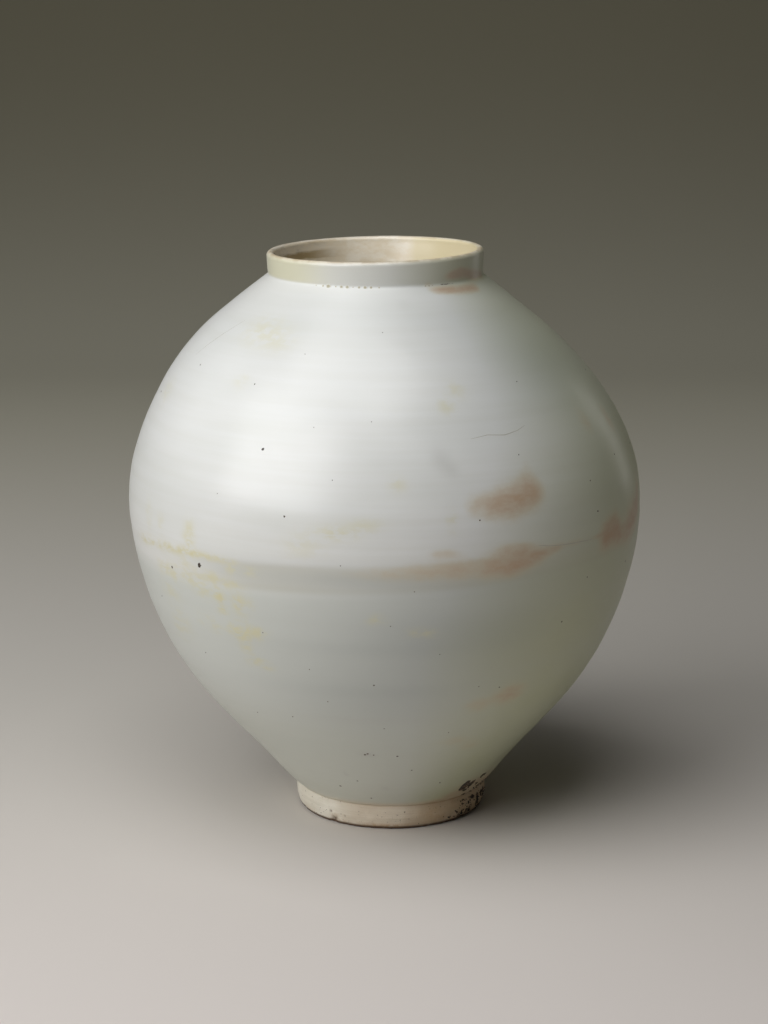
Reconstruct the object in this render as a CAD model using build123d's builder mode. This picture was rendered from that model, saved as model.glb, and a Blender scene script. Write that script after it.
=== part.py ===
from build123d import *
import os
from math import cos, hypot, radians, sin

# A white porcelain moon jar: two thrown bowls luted rim to rim, with a thrown
# collar, a turned foot ring and a clear glaze over the clay. It stands on
# z = 0, x runs to the viewer's right, and sizes are in millimetres and degrees.

os.makedirs("parts", exist_ok=True)

# The clay of the jar as a whole
belly_diameter = 329.8
wall_height = 336.6
wall_thickness = 6.0
lean = 10.0

# The inside, from its thick floor up to the throat
floor_thickness = 9.5
floor_diameter = 102.0
throat_rounding = 2.5

# The collar, thrown on to the shoulder and a little tilted
neck_diameter = 135.8
lip_diameter = 137.2
lip_thickness = 4.2
collar_height = 15.2
collar_base_thickness = 5.5
neck_rounding = 1.0
glaze_neck_rounding = 1.6
collar_tilt = 1.1

# The foot ring, turned and left bare, and the bare clay above it
foot_height = 13.0
foot_top_diameter = 123.2
foot_bulge = 1.2
foot_undercut = 0.6
foot_wall = 10.5
foot_wall_taper = 2.0
foot_rounding = 1.6
bare_root = 2.1

# Slip that joins the thrown pieces, and the slope of the seam at the waist
foot_slip_thickness = 1.0
collar_slip_thickness = 1.0
waist_slip_thickness = 1.6
waist_height = 194.5
waist_tilt = 2.2

# Glaze, and the kiln grit fused to the foot. Each grain is pitched and rolled
# by so many degrees for each degree of its turn about the foot.
outer_glaze_thickness = 0.6
inner_glaze_thickness = 0.5
base_glaze_thickness = 0.5
grit_size = 1.5
grit_pitch = 5.0
grit_roll = 9.0

# How far forms run on past the piece that they shape
overrun = 10.0

# The wall's outline, from the bare root up to the neck and a little past it.
# Height is a share of the wall's height. Swell is a share of the way from the
# foot out to the belly or, above the belly, from the neck out to it. Lean is a
# share of the lean, to the right. Thickness is a share of the wall's.
belly_share = 0.56
hollow_share = 0.15
foot_lean_share = 0.42
neck_lean_share = -0.58
outline_shares = [
    # height, swell, lean, thickness
    (0.00, 0.000, foot_lean_share, 1.70),
    (0.07, 0.197, 0.28, 1.50),
    (hollow_share, 0.425, 0.24, 1.30),
    (0.24, 0.658, 0.17, 1.15),
    (0.34, 0.835, 0.10, 1.05),
    (0.45, 0.952, 0.06, 1.00),
    (belly_share, 1.000, 0.00, 1.00),
    (0.67, 0.948, -0.04, 1.00),
    (0.77, 0.791, -0.21, 1.00),
    (0.86, 0.566, -0.50, 1.00),
    (0.93, 0.307, -0.64, 1.05),
    (1.00, 0.000, neck_lean_share, 1.10),
    (1.04, -0.195, -0.55, 1.10),
]

# The grit on the foot's outside: turn in degrees from the right towards the
# viewer, height as a share of the foot's, and size as a share of the grit's
grit_shares = [
    (2, 0.30, 0.7),
    (7, 0.62, 0.9),
    (11, 0.22, 0.5),
    (15, 0.78, 1.0),
    (19, 0.45, 0.8),
    (24, 0.70, 0.6),
    (28, 0.30, 1.0),
    (33, 0.56, 0.7),
    (37, 0.80, 0.5),
    (42, 0.40, 0.9),
    (48, 0.66, 0.7),
    (54, 0.33, 0.7),
    (61, 0.58, 0.5),
    (70, 0.75, 0.6),
    (83, 0.36, 0.5),
    (112, 0.66, 0.6),
    (139, 0.42, 0.5),
    (342, 0.50, 0.6),
    (327, 0.28, 0.5),
]

# Levels and places that follow
bowl_base = foot_height + foot_slip_thickness
wall_base = bowl_base + bare_root
neck_level = wall_base + wall_height
foot_x = foot_lean_share * lean
neck_x = neck_lean_share * lean
belly_radius = belly_diameter / 2
foot_top_radius = foot_top_diameter / 2
neck_radius = neck_diameter / 2
throat_radius = neck_radius - collar_base_thickness
lip_radius = lip_thickness / 2
crest_radius = lip_diameter / 2 - lip_radius
floor_level = bowl_base + floor_thickness
hollow_number = [row[0] for row in outline_shares].index(hollow_share)


def outside_circles():
    """Level circles of the clay's outside: height, radius and place."""
    circles = []
    for height_share, swell_share, lean_share, _ in outline_shares:
        end_radius = foot_top_radius if height_share < belly_share else neck_radius
        radius = end_radius + swell_share * (belly_radius - end_radius)
        circles.append((wall_base + height_share * wall_height, radius, lean_share * lean))
    return circles


def drawn_in(circles, depths):
    """The same circles, each moved in along the wall's normal by its depth."""
    moved = []
    for number, (height, radius, place) in enumerate(circles):
        below = circles[max(number - 1, 0)]
        above = circles[min(number + 1, len(circles) - 1)]
        rise = above[0] - below[0]
        spread = above[1] - below[1]
        share = depths[number] / hypot(rise, spread)
        moved.append((height + share * spread, radius - share * rise, place))
    return moved


def glazed_outside_circles():
    """Level circles of the glaze's outside."""
    circles = outside_circles()
    return drawn_in(circles, [-outer_glaze_thickness] * len(circles))


def inside_circles(lining):
    """Level circles of the inside, under a lining of that thickness: the floor, then the wall."""
    depths = [share * wall_thickness + lining for _, _, _, share in outline_shares]
    wall = drawn_in(outside_circles(), depths)[hollow_number:]
    rise = wall[0][0] - floor_level
    spread = wall[0][1] - floor_diameter / 2
    corner = lining * (hypot(rise, spread) - spread) / rise
    return [(floor_level + lining, floor_diameter / 2 - corner, foot_x), *wall]


def ball(circles):
    """A smooth solid through a stack of level circles."""
    with BuildPart() as form:
        for height, radius, place in circles:
            with BuildSketch(Plane(origin=(place, 0, height))):
                Circle(radius)
        loft()
    return form.part


# The collar's section stands on its tilted axis, with its zero at the neck
neck_centre = (neck_x, 0, neck_level)
collar_up = (-sin(radians(collar_tilt)), 0, cos(radians(collar_tilt)))
collar_across = (cos(radians(collar_tilt)), 0, sin(radians(collar_tilt)))
collar_section = Plane(origin=neck_centre, x_dir=collar_across, z_dir=(0, -1, 0))
collar_axis = Axis(origin=neck_centre, direction=collar_up)
lip_centre = (crest_radius, collar_height - lip_thickness / 2)
column_top = collar_height + overrun


def collar_column(neck, lip_bend, lip_arc):
    """The collar filled to its axis: one face, over half the lip and straight up at its crest."""
    start, end = lip_arc
    with BuildPart() as column:
        with BuildSketch(collar_section):
            with BuildLine():
                lip = CenterArc(lip_centre, lip_bend, start, end - start)
                spread = (lip @ 0).X - neck
                Polyline(
                    lip @ 1,
                    (crest_radius, column_top),
                    (0, column_top),
                    (0, -overrun),
                    (neck - overrun * spread / lip_centre[1], -overrun),
                    lip @ 0,
                )
            make_face()
        revolve(axis=collar_axis)
    return column.part


def jar_form(circles, neck, lip_bend, lip_arc, corner_rounding):
    """Wall and collar as one solid, with the corner between them rounded."""
    with BuildPart() as form:
        add(collar_column(neck, lip_bend, lip_arc))
        add(ball(circles))
        corner = form.edges().filter_by(lambda edge: edge.is_closed).sort_by(Axis.Z)[1]
        fillet(corner, corner_rounding)
    return form.part


# The lip bends from its outside or its inside up to its crest, in degrees
outside_arc = (0, 90)
inside_arc = (180, 90)

outside = jar_form(outside_circles(), neck_radius, lip_radius, outside_arc, neck_rounding)
glazed_outside = jar_form(
    glazed_outside_circles(),
    neck_radius + outer_glaze_thickness,
    lip_radius + outer_glaze_thickness,
    outside_arc,
    glaze_neck_rounding,
)
inside = jar_form(inside_circles(0), throat_radius, lip_radius, inside_arc, throat_rounding)
lined_inside = jar_form(
    inside_circles(inner_glaze_thickness),
    throat_radius - inner_glaze_thickness,
    lip_radius + inner_glaze_thickness,
    inside_arc,
    throat_rounding + inner_glaze_thickness,
)

# The clay as thrown and joined, before it is parted at its seams
with BuildPart() as clay:
    with BuildSketch(Plane(origin=(foot_x, 0, bowl_base))):
        Circle(foot_top_radius)
    extrude(amount=bare_root)
    add(outside)
    add(inside, mode=Mode.SUBTRACT)

waist_up = (-sin(radians(waist_tilt)), 0, cos(radians(waist_tilt)))
waist = Plane(origin=(0, 0, waist_height), z_dir=waist_up)
lower_rim = waist.offset(-waist_slip_thickness / 2)
upper_rim = waist.offset(waist_slip_thickness / 2)
neck_plane = Plane.XY.offset(neck_level)
collar_seat = neck_plane.offset(collar_slip_thickness)

with BuildPart() as lower_bowl:
    add(clay.part)
    split(bisect_by=lower_rim, keep=Keep.BOTTOM)

with BuildPart() as waist_slip:
    add(clay.part)
    split(bisect_by=lower_rim, keep=Keep.TOP)
    split(bisect_by=upper_rim, keep=Keep.BOTTOM)

with BuildPart() as upper_bowl:
    add(clay.part)
    split(bisect_by=upper_rim, keep=Keep.TOP)
    split(bisect_by=neck_plane, keep=Keep.BOTTOM)

with BuildPart() as collar_slip:
    add(clay.part)
    split(bisect_by=neck_plane, keep=Keep.TOP)
    split(bisect_by=collar_seat, keep=Keep.BOTTOM)

with BuildPart() as mouth_collar:
    add(clay.part)
    split(bisect_by=collar_seat, keep=Keep.TOP)

# The foot ring: a barrelled outside, a flat to stand on and a tapered inside
foot_section = Plane(origin=(foot_x, 0, 0), x_dir=(1, 0, 0), z_dir=(0, -1, 0))
foot_axis = Axis(origin=(foot_x, 0, 0), direction=(0, 0, 1))
foot_inside_radius = foot_top_radius - foot_wall
foot_low_radius = foot_top_radius - foot_undercut
foot_mid_radius = foot_top_radius + foot_bulge

with BuildPart() as foot_ring:
    with BuildSketch(foot_section) as foot_profile:
        with BuildLine():
            barrel = ThreePointArc(
                (foot_low_radius, 0),
                (foot_mid_radius, foot_height / 2),
                (foot_top_radius, foot_height),
            )
            Polyline(
                barrel @ 1,
                (foot_inside_radius, foot_height),
                (foot_inside_radius + foot_wall_taper, 0),
                barrel @ 0,
            )
        make_face()
        fillet(foot_profile.vertices().group_by(Axis.Y)[0], foot_rounding)
    revolve(axis=foot_axis)

with BuildPart() as foot_slip:
    with BuildSketch(Plane(origin=(foot_x, 0, foot_height))):
        Circle(foot_top_radius)
        Circle(foot_inside_radius, mode=Mode.SUBTRACT)
    extrude(amount=foot_slip_thickness)


def glazed_faces(form, open_below):
    """A form's faces up to the lip's crest, from its floor or, if open below, from its wall."""
    first = 1 if open_below else 0
    faces = form.faces().sort_by(Axis.Z)[first:-2]
    ends = Shell(faces).edges().filter_by(lambda edge: edge.is_closed).sort_by(Axis.Z)
    return faces, ends[0], ends[-1]


def glaze_skin(clay_form, glaze_form, open_below):
    """A skin between two forms, closed by a rim at the lip's crest and, if open below, at the foot."""
    clay_faces, clay_foot, clay_crest = glazed_faces(clay_form, open_below)
    glaze_faces, glaze_foot, glaze_crest = glazed_faces(glaze_form, open_below)
    rims = [Face.make_surface_from_curves(clay_crest, glaze_crest)]
    if open_below:
        rims.append(Face.make_surface_from_curves(clay_foot, glaze_foot))
    return Solid(Shell([*clay_faces, *glaze_faces, *rims]))


# The outer glaze ends at the bare root, the inner one runs over the floor, and
# they meet at the lip's crest
with BuildPart() as outer_glaze:
    add(glaze_skin(outside, glazed_outside, open_below=True))

with BuildPart() as inner_glaze:
    add(glaze_skin(inside, lined_inside, open_below=False))

# The glaze on the roof of the foot's recess
with BuildPart() as base_glaze:
    with BuildSketch(Plane(origin=(foot_x, 0, bowl_base - base_glaze_thickness))):
        Circle(foot_inside_radius)
    extrude(amount=base_glaze_thickness)

# Kiln grit: angular grains, each turned its own way, that sit on the foot's
# barrelled outside
with BuildPart() as kiln_grit:
    for turn, height_share, size_share in grit_shares:
        bulge_share = 4 * height_share * (1 - height_share)
        seat = foot_low_radius + (foot_mid_radius - foot_low_radius) * bulge_share
        place = (
            foot_x + seat * cos(radians(turn)),
            -seat * sin(radians(turn)),
            height_share * foot_height,
        )
        grain = size_share * grit_size
        with Locations(Location(place, (grit_pitch * turn, grit_roll * turn, 0))):
            Box(grain, grain, grain)
    add(foot_ring.part, mode=Mode.SUBTRACT)

jar = {
    "lower_bowl": lower_bowl,
    "upper_bowl": upper_bowl,
    "waist_slip": waist_slip,
    "mouth_collar": mouth_collar,
    "collar_slip": collar_slip,
    "foot_ring": foot_ring,
    "foot_slip": foot_slip,
    "outer_glaze": outer_glaze,
    "inner_glaze": inner_glaze,
    "base_glaze": base_glaze,
    "kiln_grit": kiln_grit,
}
for name, piece in jar.items():
    piece.part.label = name
    export_step(piece.part, f"parts/{name}.step")
    print(name, len(piece.part.solids()), round(piece.part.volume))
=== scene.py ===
import bpy
import numpy as np
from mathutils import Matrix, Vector


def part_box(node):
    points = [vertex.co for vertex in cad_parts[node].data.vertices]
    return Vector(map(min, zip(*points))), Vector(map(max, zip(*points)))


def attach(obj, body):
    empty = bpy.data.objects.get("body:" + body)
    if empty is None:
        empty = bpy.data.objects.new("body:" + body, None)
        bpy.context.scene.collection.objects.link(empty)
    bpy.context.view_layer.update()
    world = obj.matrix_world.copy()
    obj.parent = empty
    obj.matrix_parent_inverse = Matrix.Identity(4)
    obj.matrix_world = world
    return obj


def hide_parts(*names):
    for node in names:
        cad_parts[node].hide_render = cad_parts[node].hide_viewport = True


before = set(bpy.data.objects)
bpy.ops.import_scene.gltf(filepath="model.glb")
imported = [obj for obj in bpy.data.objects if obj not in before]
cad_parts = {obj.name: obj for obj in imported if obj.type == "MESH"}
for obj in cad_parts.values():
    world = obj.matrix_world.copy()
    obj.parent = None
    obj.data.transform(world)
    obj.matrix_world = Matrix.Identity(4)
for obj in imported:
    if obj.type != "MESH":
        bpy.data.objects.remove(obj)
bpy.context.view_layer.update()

# Fired clay: the two thrown bowls and the collar.
# Fine white porcelain clay, thrown, trimmed and fired hard. It shows bare only
# as a narrow root above the foot; elsewhere the glaze covers it.


def feed(tree, socket, value):
    """Links a socket to another one, or sets it to a number or a colour."""
    if isinstance(value, bpy.types.NodeSocket):
        tree.links.new(value, socket)
    elif isinstance(value, tuple) and len(value) == 3 and socket.type == "RGBA":
        socket.default_value = (*value, 1.0)
    else:
        socket.default_value = value


def noise(tree, place, scale, detail=3.0, roughness=0.5):
    """A soft random value from 0 to 1 at a place."""
    made = tree.nodes.new("ShaderNodeTexNoise")
    made.inputs["Scale"].default_value = scale
    made.inputs["Detail"].default_value = detail
    made.inputs["Roughness"].default_value = roughness
    tree.links.new(place, made.inputs["Vector"])
    return made.outputs["Fac"]


def calc(tree, operation, first, second=0.0, third=0.0):
    """One sum, product or other Math step."""
    made = tree.nodes.new("ShaderNodeMath")
    made.operation = operation
    for socket, value in zip(made.inputs, (first, second, third)):
        feed(tree, socket, value)
    return made.outputs["Value"]


def times(tree, first, second):
    """The product of two values."""
    return calc(tree, "MULTIPLY", first, second)


def rise(tree, value, low, high, least=0.0, most=1.0):
    """A smooth step: least below low, most above high."""
    made = tree.nodes.new("ShaderNodeMapRange")
    made.interpolation_type = "SMOOTHSTEP"
    for label, given in (
        ("Value", value),
        ("From Min", low),
        ("From Max", high),
        ("To Min", least),
        ("To Max", most),
    ):
        feed(tree, made.inputs[label], given)
    return made.outputs["Result"]


def blend(tree, share, under, over):
    """A colour that goes from one to another by a share."""
    made = tree.nodes.new("ShaderNodeMix")
    made.data_type = "RGBA"
    feed(tree, made.inputs["Factor"], share)
    feed(tree, made.inputs[6], under)
    feed(tree, made.inputs[7], over)
    return made.outputs[2]


def drawn_out(tree, place, scale, detail, roughness=0.5):
    """A noise drawn out or squeezed along the axes: its scale has an X, a Y and a Z."""
    made = tree.nodes.new("ShaderNodeMapping")
    made.inputs["Scale"].default_value = scale
    tree.links.new(place, made.inputs["Vector"])
    return noise(tree, made.outputs["Vector"], 1.0, detail, roughness)


def axes_of(tree, place):
    """A place taken apart into its X, Y and Z."""
    made = tree.nodes.new("ShaderNodeSeparateXYZ")
    tree.links.new(place, made.inputs["Vector"])
    return made.outputs


def relief(tree, height, depth):
    """A bump whose full height is that depth in metres."""
    made = tree.nodes.new("ShaderNodeBump")
    made.inputs["Distance"].default_value = depth
    tree.links.new(height, made.inputs["Height"])
    return made.outputs["Normal"]


def effect(name, inputs, outputs):
    """An empty node group with its sockets named by kind, and its two end nodes."""
    tree = bpy.data.node_groups.new(name, "ShaderNodeTree")
    for way, sockets in (("INPUT", inputs), ("OUTPUT", outputs)):
        for label, kind in sockets.items():
            tree.interface.new_socket(label, in_out=way, socket_type="NodeSocket" + kind)
    return tree, tree.nodes.new("NodeGroupInput").outputs, tree.nodes.new("NodeGroupOutput").inputs


def placed(tree, group, values):
    """A node group put into a material with its own values."""
    made = tree.nodes.new("ShaderNodeGroup")
    made.node_tree = group
    for label, value in values.items():
        feed(tree, made.inputs[label], value)
    return made.outputs


def finish_of(name):
    """A new material: itself, its node tree, its shader and the place on the piece."""
    material = bpy.data.materials.new(name)
    material.use_nodes = True
    tree = material.node_tree
    place = tree.nodes.new("ShaderNodeTexCoord").outputs["Object"]
    return material, tree, tree.nodes["Principled BSDF"], place


def dress(tree, shader, color, roughness, height, depth):
    """Wires a finish: its colour, its roughness and a relief of that depth in metres."""
    feed(tree, shader.inputs["Base Color"], color)
    feed(tree, shader.inputs["Roughness"], roughness)
    feed(tree, shader.inputs["Normal"], relief(tree, height, depth))


def give(piece, material):
    """Puts one material on a piece in place of any that it has."""
    piece.data.materials.clear()
    piece.data.materials.append(material)


# Clay grain: broad tone, dark iron flecks and the tooth of a dry fired surface
clay_grain, given, wanted = effect(
    "clay_grain",
    {"Place": "Vector", "Fleck Share": "Float"},
    {"Tone": "Float", "Flecks": "Float", "Height": "Float"},
)
broad = noise(clay_grain, given["Place"], 60.0, 4.0)
tooth = noise(clay_grain, given["Place"], 1400.0, 4.0, 0.65)
fleck_field = noise(clay_grain, given["Place"], 620.0, 2.0)
fleck_floor = calc(clay_grain, "SUBTRACT", 0.86, given["Fleck Share"])
fleck_roof = calc(clay_grain, "ADD", fleck_floor, 0.05)
feed(clay_grain, wanted["Tone"], rise(clay_grain, broad, 0.35, 0.68))
feed(clay_grain, wanted["Flecks"], rise(clay_grain, fleck_field, fleck_floor, fleck_roof))
feed(clay_grain, wanted["Height"], tooth)

# Bare clay: pale at the left of the foot, warmer in front, and scorched brown on
# the side that lies 25 degrees from the right towards the viewer
scorch_turn = np.radians(25.0)
bare_clay, given, wanted = effect(
    "bare_clay", {"Place": "Vector", "Tone": "Float"}, {"Color": "Color"}
)
axes = axes_of(bare_clay, given["Place"])
warm_tone = blend(bare_clay, given["Tone"], (0.68, 0.565, 0.43), (0.81, 0.71, 0.57))
pale_tone = blend(bare_clay, given["Tone"], (0.79, 0.74, 0.62), (0.88, 0.84, 0.73))
pale_share = rise(bare_clay, axes["X"], -0.048, 0.0, 1.0, 0.0)
scorch_side = times(bare_clay, axes["Y"], -np.sin(scorch_turn))
scorch_side = calc(bare_clay, "MULTIPLY_ADD", axes["X"], np.cos(scorch_turn), scorch_side)
scorch_break = rise(bare_clay, noise(bare_clay, given["Place"], 90.0, 5.0), 0.25, 0.6, 0.35, 1.0)
scorch_share = times(bare_clay, rise(bare_clay, scorch_side, 0.034, 0.060), scorch_break)
clay_color = blend(bare_clay, pale_share, warm_tone, pale_tone)
feed(bare_clay, wanted["Color"], blend(bare_clay, scorch_share, clay_color, (0.66, 0.50, 0.32)))

fired_clay, tree, shader, place = finish_of("fired_clay")
grain = placed(tree, clay_grain, {"Place": place, "Fleck Share": 0.14})
clay_tone = placed(tree, bare_clay, {"Place": place, "Tone": grain["Tone"]})["Color"]
clay_tone = blend(tree, grain["Flecks"], clay_tone, (0.20, 0.13, 0.08))
clay_dullness = rise(tree, grain["Tone"], 0.0, 1.0, 0.62, 0.78)
dress(tree, shader, clay_tone, clay_dullness, grain["Height"], 0.00015)
for node_name in ("lower_bowl", "upper_bowl", "mouth_collar"):
    give(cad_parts[node_name], fired_clay)

# Luting slip: thin clay that joined the thrown pieces at the waist, under the
# collar and over the foot. A softer, rougher clay than the bowls, darker where
# it dried in the joint.
luting_slip, tree, shader, place = finish_of("luting_slip")
grain = placed(tree, clay_grain, {"Place": place, "Fleck Share": 0.2})
slip_tone = placed(tree, bare_clay, {"Place": place, "Tone": grain["Tone"]})["Color"]
slip_tone = blend(tree, 0.15, slip_tone, (0.40, 0.32, 0.22))
slip_tone = blend(tree, grain["Flecks"], slip_tone, (0.16, 0.10, 0.06))
slip_dullness = rise(tree, grain["Tone"], 0.0, 1.0, 0.7, 0.85)
dress(tree, shader, slip_tone, slip_dullness, grain["Height"], 0.00025)
for node_name in ("waist_slip", "collar_slip", "foot_slip"):
    give(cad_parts[node_name], luting_slip)

# Foot ring: a low barrelled ring turned on the wheel and left bare.
# Its clay fired pinkish buff, with fine turning lines, small chips and a rough
# brown edge where it stood in the kiln, darkened further by a painted contact shadow.
foot_low, foot_high = (np.array(corner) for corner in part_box("foot_ring"))
foot_centre = (foot_low[0] + foot_high[0]) / 2
foot_reach = (foot_high[0] - foot_low[0]) / 2
foot_height = foot_high[2]
foot_barrel = 0.0012
foot_undercut = 0.0006
foot_top_wall = 0.0105
foot_wall_taper = 0.0020
foot_edge_rounding = 0.0015
foot_columns = 720
smear_top = 0.0158


def shown(name, data):
    """A mesh, lamp or lens put into the scene as an object of that name."""
    made = bpy.data.objects.new(name, data)
    bpy.context.scene.collection.objects.link(made)
    return made


def mesh_piece(name, points, faces, masks, smooth=True):
    """A mesh in the scene from its points and faces. Masks are values kept on the points by
    name."""
    mesh = bpy.data.meshes.new(name)
    mesh.from_pydata(points.reshape(-1, 3).tolist(), [], faces)
    mesh.polygons.foreach_set("use_smooth", np.full(len(faces), smooth))
    for label, values in masks.items():
        kept = mesh.attributes.new(label, "FLOAT", "POINT")
        kept.data.foreach_set("value", values.astype(np.float32).ravel())
    return shown(name, mesh)


def skin_mesh(name, points, masks, joined):
    """A mesh from rows of points round the jar, where each row closes on itself. The last row
    joins the first, or else a point closes each end."""
    rows, columns = points.shape[:2]
    row = np.arange(rows if joined else rows - 1)[:, None]
    column = np.arange(columns)[None, :]
    above = (row + 1) % rows
    after = (column + 1) % columns
    corners = np.stack(
        np.broadcast_arrays(
            row * columns + column,
            above * columns + column,
            above * columns + after,
            row * columns + after,
        ),
        axis=-1,
    ).reshape(-1, 4)
    faces = corners.tolist()
    places = points.reshape(-1, 3)
    if not joined:
        ring = np.arange(columns)
        pole = np.full(columns, rows * columns)
        last_ring = ring + (rows - 1) * columns
        faces += np.stack([pole, ring, np.roll(ring, -1)], axis=-1).tolist()
        faces += np.stack([pole + 1, np.roll(last_ring, -1), last_ring], axis=-1).tolist()
        places = np.concatenate([places, points[[0, -1]].mean(axis=1)])
    return mesh_piece(name, places, faces, masks)


def ring_at(place, radius, turn, level):
    """Points of level circles at a place along X: turns run from the right to the viewer."""
    around = place + radius * np.cos(turn)
    return np.stack(np.broadcast_arrays(around, -radius * np.sin(turn), level), axis=-1)


def patch(turn, height, spots, radius):
    """Soft spots on the surface: the sum of bell curves, each at its turn in degrees and
    height in millimetres, with its half width, half height and strength."""
    cover = np.zeros(np.broadcast(turn, height).shape)
    for spot_turn, spot_height, half_width, half_height, strength in spots:
        aside = (np.degrees(turn) - spot_turn + 180.0) % 360.0 - 180.0
        across = np.radians(aside) * radius * 1000.0 / half_width
        up = (height * 1000.0 - spot_height) / half_height
        cover += strength * np.exp(-(across**2) - up**2)
    return cover


def window(value, middle, half_width, power):
    """A soft window: 1 at the middle, falling off outside the half width, more sharply with
    a higher power."""
    return np.exp(-(((value - middle) / half_width) ** power))


def ramp(value, start, run):
    """A straight climb from 0 at the start to 1 at the end of its run. It falls the other way
    where the run is below 0."""
    return np.clip((value - start) / run, 0.0, 1.0)


def uneven(turn, height, seed, counts, pitches):
    """A slow random swell from about -1 to 1: the mean of waves that go a whole number of
    times round the jar and rise with their own pitch in metres."""
    random = np.random.default_rng(seed)
    swell = np.zeros(np.broadcast(turn, height).shape)
    for count in counts:
        for pitch in pitches:
            phase, lift = random.uniform(0, 2 * np.pi, 2)
            swell += np.sin(count * turn + phase + np.sin(2 * np.pi * height / pitch + lift) * 1.5)
    return swell / (0.7 * len(counts) * len(pitches)) ** 0.5 / 2.2


def foot_reach_at(climb):
    """The foot's outside radius at a share of the way up: the top's, less an undercut that
    closes as a square, plus a barrel that is fullest half-way."""
    return foot_top - foot_undercut * (1 - climb) ** 2 + 4 * foot_barrel * climb * (1 - climb)


# The section runs up the barrelled outside, on as a thin smear of clay over the
# joint with the bowl, over the top, down the tapered inside and out along the
# flat that it stands on
foot_top = foot_reach - foot_barrel
foot_inside = foot_top - foot_top_wall
climb = np.linspace(0.0, 1.0, 38)
climb_radius = foot_reach_at(climb) + 0.0001 * climb
climb_level = foot_edge_rounding + climb * (smear_top - foot_edge_rounding)
bend = np.linspace(-np.pi / 2, 0, 8)[:-1]
edge_radius = foot_top - foot_undercut - foot_edge_rounding
smear_radius = foot_top - 0.0006
foot_mouth = foot_inside + foot_wall_taper
section = np.concatenate(
    [
        np.stack(columns, axis=-1)
        for columns in (
            (
                edge_radius + foot_edge_rounding * np.cos(bend),
                foot_edge_rounding * (1 + np.sin(bend)),
            ),
            (climb_radius, climb_level),
            (np.full(2, smear_radius), np.array([smear_top, foot_height])),
            (np.linspace(smear_radius, foot_inside, 8)[1:], np.full(7, foot_height)),
            (
                np.linspace(foot_inside, foot_mouth, 16)[1:],
                np.linspace(foot_height, foot_edge_rounding, 16)[1:],
            ),
            (np.linspace(foot_mouth + 0.0008, edge_radius, 8)[:-1], np.zeros(7)),
        )
    ]
)
turn = np.arange(foot_columns) * 2 * np.pi / foot_columns
foot_turn, section_radius = np.meshgrid(turn, section[:, 0])
section_level = np.repeat(section[:, 1:], foot_columns, axis=1)
outside_share = ramp(section_radius - foot_inside, 0.004, 0.003)
chip_spots = [
    (128.7, 7.9, 0.9, 0.8, 0.8), (126.3, 3.4, 2.2, 1.7, 0.9), (128, 1.0, 2.6, 1.3, 1.0),
    (118.7, 6.7, 0.5, 0.6, 0.6), (159, 1.0, 2.0, 1.3, 0.7), (96, 0.8, 3.0, 1.0, 0.5),
    (64, 0.6, 4.0, 0.9, 0.6), (41, 1.0, 3.0, 1.4, 0.8), (20, 1.2, 2.5, 1.5, 0.9),
    (250, 0.8, 2.5, 1.2, 0.8), (305, 0.9, 3.5, 1.1, 0.7),
]
chip_depth = 0.0011
nibble_depth = 0.0005
wobble_depth = 0.00012
mean_sink = 0.0001
deepest_sink = 0.0014
chips = patch(foot_turn, section_level, chip_spots, foot_reach)
turning_lines = np.sin(section_level * 2 * np.pi / 0.0017 + 0.8 * np.sin(foot_turn)) * 0.00004
turning_lines += np.sin(section_level * 2 * np.pi / 0.0042 + 2.0 + foot_turn * 2) * 0.00006
nibbles = np.clip(uneven(foot_turn, section_level, 5, (23, 41, 67, 96), (0.006, 0.011)), 0.0, 1.0)
nibbles *= window(section_level, 0.0, 0.0016, 2) * nibble_depth
wobble = uneven(foot_turn, section_level, 6, (2, 3, 5, 8), (0.05, 0.09)) * wobble_depth
turned = (turning_lines + mean_sink + wobble) * ramp(section_level, smear_top, -0.0025)
sunk = outside_share * (chips * chip_depth + nibbles + turned)
ring_radius = section_radius - np.clip(sunk, 0.0, deepest_sink)
ring_points = ring_at(foot_centre, ring_radius, foot_turn, section_level)
rust_spots = [
    (93, 2.3, 12, 1.3, 0.6), (84.5, 2.8, 6, 1.3, 0.6), (102, 2.6, 8, 1.3, 0.5),
    (126, 5.6, 3, 1.5, 0.5), (122, 2.2, 7, 1.4, 0.5), (66, 10, 10, 3.5, 0.35),
    (60, 5, 9, 3, 0.4), (150, 3.0, 6, 1.5, 0.3), (230, 3.0, 14, 2.0, 0.5),
    (310, 4.0, 12, 3.0, 0.5),
]
melt_spots = [
    (31.3, 12.0, 2.8, 1.7, 1.3), (24.8, 10.2, 2.2, 2.8, 1.2), (25.2, 5.8, 2.3, 2.4, 1.2),
    (18.4, 10.0, 2.2, 2.6, 1.2), (13.0, 10.0, 2.6, 3.0, 1.1), (34.3, 4.3, 1.7, 2.4, 1.3),
    (37.8, 4.0, 1.4, 2.0, 1.2), (42.1, 4.3, 1.4, 1.7, 1.1), (44.3, 2.3, 2.1, 1.3, 1.2),
    (36.0, 9.5, 1.6, 1.5, 1.0), (46.4, 5.0, 0.9, 1.3, 0.7), (51.9, 3.7, 1.2, 1.0, 0.6),
    (41.3, 12.8, 1.3, 0.9, 0.9), (4, 6, 5, 4, 0.6), (350, 9, 4, 3, 0.4),
]
foot_masks = {
    "chipped": np.clip(chips, 0.0, 1.0) * outside_share,
    # The bottom edge: partly the brown edge where it stood in the kiln, partly a painted contact
    # shadow.
    "kiln_edge_and_contact_shadow": window(section_level, 0.0, 0.0021, 6),
    "rust": patch(foot_turn, section_level, rust_spots, foot_reach) * outside_share,
    "melted": patch(foot_turn, section_level, melt_spots, foot_reach) * outside_share,
}
turned_foot = skin_mesh("turned_foot", ring_points, foot_masks, joined=True)
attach(turned_foot, "root")
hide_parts("foot_ring")


def mask(tree, label):
    """A value that is kept on the piece's points."""
    made = tree.nodes.new("ShaderNodeAttribute")
    made.attribute_name = label
    return made.outputs["Fac"]


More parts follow.
